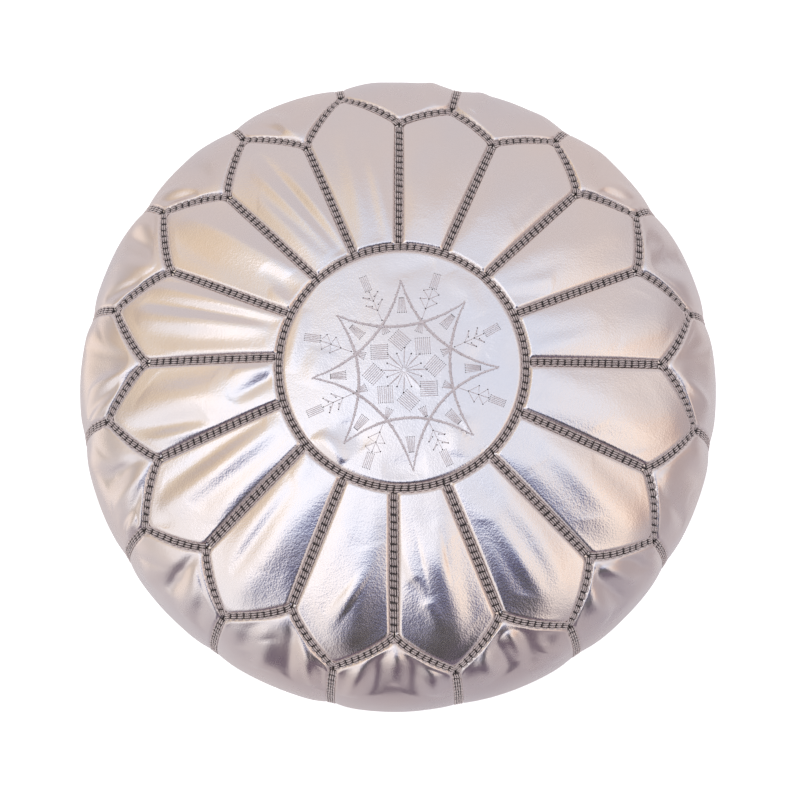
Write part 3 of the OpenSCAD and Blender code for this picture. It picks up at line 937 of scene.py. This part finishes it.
class Needle:
    """Lays stitches on the medallion's leather, following its height."""

    CELL = 2.0

    def __init__(self, pile, leather, rng):
        tree = BVHTree.FromObject(leather, bpy.context.evaluated_depsgraph_get())
        self.half = int(MEDALLION_R / self.CELL)
        n = 2 * self.half + 1
        self.heights = np.zeros((n, n))
        for i, j in np.ndindex(n, n):
            at = Vector(((i - self.half) * self.CELL, (j - self.half) * self.CELL, 400)) * MM
            hit = tree.ray_cast(at, Vector((0, 0, -1)))
            self.heights[i, j] = hit[0].z / MM if hit[0] else np.nan
        self.heights[np.isnan(self.heights)] = np.nanmin(self.heights)
        self.pile, self.rng = pile, rng

    def height(self, xy):
        g = np.clip(xy / self.CELL + self.half, 0, 2 * self.half - 1.001)
        i = g.astype(int)
        f = g - i
        (x, y), (fx, fy), h = i.T, f.T, self.heights
        low = h[x, y] * (1 - fx) + h[x + 1, y] * fx
        high = h[x, y + 1] * (1 - fx) + h[x + 1, y + 1] * fx
        return low * (1 - fy) + high * fy

    def stitch(self, a, b, half=THREAD_HALF, dots=False, lift=0.0):
        """A thread from a to b, which dives into the leather at both ends."""
        a, b = (np.asarray(p, float) + self.rng.normal(0, HAND_WOBBLE, 2) for p in (a, b))
        # dark dots at both ends, painted shade of the needle holes
        if dots:
            self.dot(a)
            self.dot(b)
        a, b = a + STAR_CENTRE, b + STAR_CENTRE
        rings = 4 + int(norm(b - a) / 5)
        u = np.linspace(0, 1, rings)
        xy = a + (b - a) * u[:, None]
        bulge = np.sqrt(np.clip(1 - (1.9 * u - 0.95) ** 2, 0, 1))
        z = self.height(xy) - THREAD_DEEP + (THREAD_RISE + lift) * np.clip(bulge * 1.6, 0, 1)
        ahead = (b - a) / max(norm(b - a), 1e-6)
        side = np.tile([-ahead[1], ahead[0], 0], (rings, 1))
        up = np.tile([0, 0, 1.0], (rings, 1))
        w = half * (0.6 + 0.4 * bulge)
        self.pile.tube(np.column_stack([xy, z]), side, up, w, 0.85, 6)

    def dot(self, at, half=0.62):
        """A small raised knot where the needle went in, coloured dark as painted shade of the needle hole.
        """
        at = at + np.array(STAR_CENTRE)
        rings = 4
        a = np.linspace(-pi / 2 + 0.3, pi / 2 - 0.3, rings)
        z = self.height(np.tile(at, (rings, 1))) + 0.05 + 0.20 * np.sin(a)
        side = np.tile([1.0, 0, 0], (rings, 1))
        up = np.tile([0, 1.0, 0], (rings, 1))
        w = half * np.cos(a)
        self.pile.tube(np.column_stack([np.tile(at, (rings, 1)), z]), side, up, w, 1, 7, 1)

    def rows(self, at, turn, length, width, count, narrow=1.0):
        """A block of side-by-side stitches along turn, centred on at. narrow tapers its far end."""
        ahead, side = polar(turn, 1), polar(turn + 90, 1)
        for x in np.linspace(-0.5, 0.5, count):
            near = at - ahead * length / 2 + side * width * x
            far = at + ahead * length / 2 + side * width * x * narrow
            self.stitch(near, far)
            # dark dots at the stitch ends, painted shade of the needle holes
            self.dot(near, 0.42)
            self.dot(far, 0.42)


def star_bands(needle):
    """Eight bowed bands, each from one tip of the star to the next but one, in slanting satin stitch."""
    tips = [polar(t, r) for t, r in zip(STAR_TURN, STAR_R)]
    for k in range(8):
        a, c = tips[k], tips[(k + 2) % 8]
        middle = a / norm(a) + c / norm(c)
        b = middle / norm(middle) * BAND_BOW
        for i in range(BAND_STITCHES):
            t = (i + 0.5) / BAND_STITCHES
            at = (1 - t) ** 2 * a + 2 * t * (1 - t) * b + t ** 2 * c
            ahead = 2 * (1 - t) * (b - a) + 2 * t * (c - b)
            ahead /= norm(ahead)
            side = np.array([-ahead[1], ahead[0]])
            half = 0.50 + 0.55 * sin(pi * t) ** 0.7 + needle.rng.normal(0, 0.07)
            slant = (side + 0.8 * ahead) * half
            needle.stitch(at - slant, at + slant, lift=0.08)
            # now and then a dark dot beside the band, painted shade of a needle hole
            if i % 9 == 0:
                needle.dot(at + side * (half + 0.35) * (1 if i % 2 else -1), 0.30)


def flower(needle):
    for k in range(16):
        turn = 22.5 * k + needle.rng.normal(0, 1.5)
        far = 17.0 if k % 2 == 0 else 13.5
        needle.stitch(polar(turn, 1.5), polar(turn, far), half=0.28)
        # a dark dot at the petal's end, painted shade of a needle hole
        needle.dot(polar(turn, far + 0.3), 0.75)
        if k % 2 == 0:
            needle.stitch(polar(turn + 5, 6), polar(turn + 1.5, far - 2), half=0.24)


def blocks(needle):
    for k in range(8):
        turn = 8 + 45 * k
        needle.rows(polar(turn, BLOCK_R), turn + 40, BLOCK_SIZE, BLOCK_SIZE * 0.86, 8)
        # a small wedge between this block and the crossing of the bands
        needle.rows(polar(turn + 17, 35.5), turn + 17, 7.5, 5.5, 5, narrow=0.35)


def tip_blocks(needle):
    for turn, r in zip(STAR_TURN, STAR_R):
        needle.rows(polar(turn, r - 20), turn, 11.5, 6.5, 6, narrow=0.55)


def sprigs(needle):
    """Between the star's tips: a stem with two pairs of leaves, and a small block at its end."""
    def stem(r, off=0.0):
        return polar(turn, r) + polar(turn + 90, off)

    for k in range(8):
        turn = 25 + 45 * k + needle.rng.normal(0, 1.5)
        for r0, r1 in ((42.5, 51), (51, 59), (59, 67)):
            needle.stitch(stem(r0), stem(r1), half=0.26, dots=True)
        for r, reach, spread in ((51, 6.5, 6.5), (59, 5.5, 6.0)):
            for side in (-1, 1):
                leaf = stem(r + reach, side * spread)
                needle.stitch(stem(r), leaf, half=0.26, dots=True)
                if (k + side) % 2 == 0:
                    needle.stitch(leaf, stem(r + 8, side * 1.5), half=0.22)
                else:
                    needle.stitch(leaf, leaf + polar(turn + 60 * side, -4.5), half=0.22, dots=True)
        needle.rows(stem(74), turn + needle.rng.normal(0, 6), 12, 5.2, 5)


def embroider(leather, rng):
    pile = Pile()
    needle = Needle(pile, leather, rng)
    star_bands(needle)
    flower(needle)
    blocks(needle)
    tip_blocks(needle)
    sprigs(needle)
    ob = pile.build("embroidery_threads", [embroidery_thread, needle_hole_shade])
    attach(ob, "cover")
    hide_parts("medallion_embroidery")


# ---- The base's sewing ----

BASE_STITCHES = 200


def base_stitching():
    """A row of stitches just inside the foot, where the side panels meet the base."""
    pile = Pile()
    for i in range(BASE_STITCHES):
        turn = 360 / BASE_STITCHES * (i + 0.5) + np.linspace(-0.32, 0.32, 5) * 360 / BASE_STITCHES
        at = place(turn, np.full(5, S_END - 2.4), np.array([-0.3, 0.1, 0.2, 0.1, -0.3]))
        up = np.tile([0.0, 0.0, -1.0], (5, 1))
        ahead = np.gradient(at, axis=0)
        side = np.cross(up, ahead)
        side /= norm(side, axis=1, keepdims=True)
        pile.tube(at, side, up, np.full(5, 0.4), 0.6, 6)
    ob = pile.build("base_edge_stitching", [sewing_thread])
    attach(ob, "cover")


rng = np.random.default_rng(7)
braids("laced_braid_ring", "medallion_braid", [ring_path()], rng, closed=True)
braids("laced_braids_petals", "petal_braids", map(petal_path, range(PETALS)), rng)
braids("laced_braids_scallop", "scallop_braid", map(scallop_path, range(2 * PETALS)), rng)
# the sides in two pieces, because of their many strands
braids("laced_braids_sides_back", "side_braids", map(side_path, range(8)), rng)
braids("laced_braids_sides_front", "side_braids", map(side_path, range(8, PETALS)), rng)
embroider(bpy.data.objects["medallion_leather"], rng)
base_stitching()


# ---- CAD pieces that keep their shape ----

def dress(material, *names):
    for name in names:
        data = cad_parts[name].data
        data.materials.clear()
        data.materials.append(material)


dress(base_leather, "base_panel_front", "base_panel_back")
dress(zip_tape, "zip_tape_front", "zip_tape_back")
dress(zip_metal, "zip_teeth_front", "zip_teeth_back", "zip_top_stops", "zip_bottom_stop")
dress(zip_metal, "zip_slider", "zip_pull")
dress(sewing_thread, "zip_stitching")
dress(liner_cotton, "liner")
dress(filling_cotton, "filling")

# ---- Stage ----

FLOOR_HALF = 6000
FLOOR_GLOW = 0.72       # a floor lit from behind
CORNERS = ((-1, -1), (1, -1), (1, 1), (-1, 1))
floor = mesh_object("floor", [(x * FLOOR_HALF, y * FLOOR_HALF, 0) for x, y in CORNERS], [(0, 1, 2, 3)])
white = Look("floor_white")
white.set(Base_Color=(0.9, 0.9, 0.9, 1), Roughness=0.8)
white.set(Emission_Color=(1, 1, 1, 1), Emission_Strength=FLOOR_GLOW)
floor.data.materials.append(white.material)
floor.visible_glossy = False

ROOM = (0.71, 0.685, 0.715)
# The studio's soft lights and shades, which the leather reflects. Each is (tilt from straight up, turn,
# angle of its core, angle of its edge, colour added), and a shade adds a negative colour.
STUDIO = (
    (9, 60, 10, 30, (0.10, 0.23, 0.38)),            # panel overhead
    (36, 216, 8, 28, (0.32, 0.37, 0.41)),          # window, front left
    (60, 192, 10, 44, (0.10, 0.09, 0.05)),
    (60, 236, 6, 22, (0.30, 0.32, 0.32)),
    (30, 8, 6, 26, (0.24, 0.21, 0.15)),            # right
    (36, 326, 6, 20, (0.36, 0.33, 0.26)),
    (46, 350, 6, 20, (0.07, -0.04, -0.12)),
    (78, 5, 12, 44, (-0.20, -0.23, -0.24)),
    (31, 144, 6, 24, (0.17, 0.13, 0.01)),           # warm wall, left
    (48, 158, 6, 24, (-0.02, -0.08, -0.16)),
    (74, 168, 8, 40, (-0.14, -0.15, -0.18)),
    (104, 175, 6, 32, (0.38, 0.33, 0.25)),
    (26, 277, 9, 22, (-0.88, -0.82, -0.62)),        # the camera and its stand
    (42, 284, 6, 20, (-0.36, -0.36, -0.31)),
    (66, 268, 12, 46, (-0.42, -0.42, -0.41)),       # dark room behind the camera
    (110, 285, 20, 70, (-0.21, -0.22, -0.20)),
)
DARKEST = (0.02, 0.02, 0.02)


def studio_world():
    """A pale room with large soft lights, as colours by direction."""
    world = bpy.data.worlds.new("studio")
    world.use_nodes = True
    nt = world.node_tree
    link = nt.links.new

    def vector(operation, source, other):
        """other is a socket or a constant."""
        n = add_node(nt, "VectorMath", operation=operation)
        link(source, n.inputs[0])
        if isinstance(other, tuple):
            n.inputs[1].default_value = other
        else:
            link(other, n.inputs[1])
        return n

    direction = add_node(nt, "TexCoord").outputs["Generated"]
    base = add_node(nt, "RGB")
    base.outputs[0].default_value = (*ROOM, 1)
    total = base.outputs[0]
    for tilt, turn, core, edge, colour in STUDIO:
        t = radians(tilt)
        dot = vector("DOT_PRODUCT", direction, (*polar(turn, sin(t)), cos(t)))
        fall = add_node(nt, "MapRange", interpolation_type="SMOOTHSTEP",
                        From_Min=cos(radians(edge)), From_Max=cos(radians(core)))
        link(dot.outputs["Value"], fall.inputs["Value"])
        scaled = add_node(nt, "VectorMath", operation="SCALE")
        scaled.inputs[0].default_value = colour
        link(fall.outputs["Result"], scaled.inputs["Scale"])
        total = vector("ADD", total, scaled.outputs["Vector"]).outputs["Vector"]
    dimmest = vector("MAXIMUM", total, DARKEST)
    link(dimmest.outputs["Vector"], nt.nodes["Background"].inputs["Color"])
    return world


scene.world = studio_world()
scene.view_settings.view_transform = "Standard"
softbox = bpy.data.lights.new("key_softbox", "AREA")
softbox.shape = "RECTANGLE"
softbox.size = softbox.size_y = 1.4
softbox.energy = 3
softbox.color = (0.88, 0.94, 1.0)
softbox_ob = scene_object("key_softbox", softbox)
softbox_ob.location = (-0.5, -0.2, 2.6)
softbox_ob.rotation_euler = (Vector((0, 0, 0.2)) - softbox_ob.location).to_track_quat("-Z", "Y").to_euler()

VIEW_ELEVATION = 78.2
VIEW_DISTANCE = 1.2
FOCAL_PX, IMAGE_PX = 1446.5, 794
SENSOR_MM = 36
aim = Vector((-0.0009, -0.0045, WIDEST_Z * MM))
back = Vector((0, -cos(radians(VIEW_ELEVATION)), sin(radians(VIEW_ELEVATION))))
cam = bpy.data.cameras.new("camera")
cam.sensor_width = SENSOR_MM
cam.lens = SENSOR_MM * FOCAL_PX / IMAGE_PX
cam.clip_end = 50
cam_ob = scene_object("camera", cam)
cam_ob.location = aim + back * VIEW_DISTANCE
cam_ob.rotation_euler = back.to_track_quat("Z", "Y").to_euler()
bpy.context.scene.camera = cam_ob
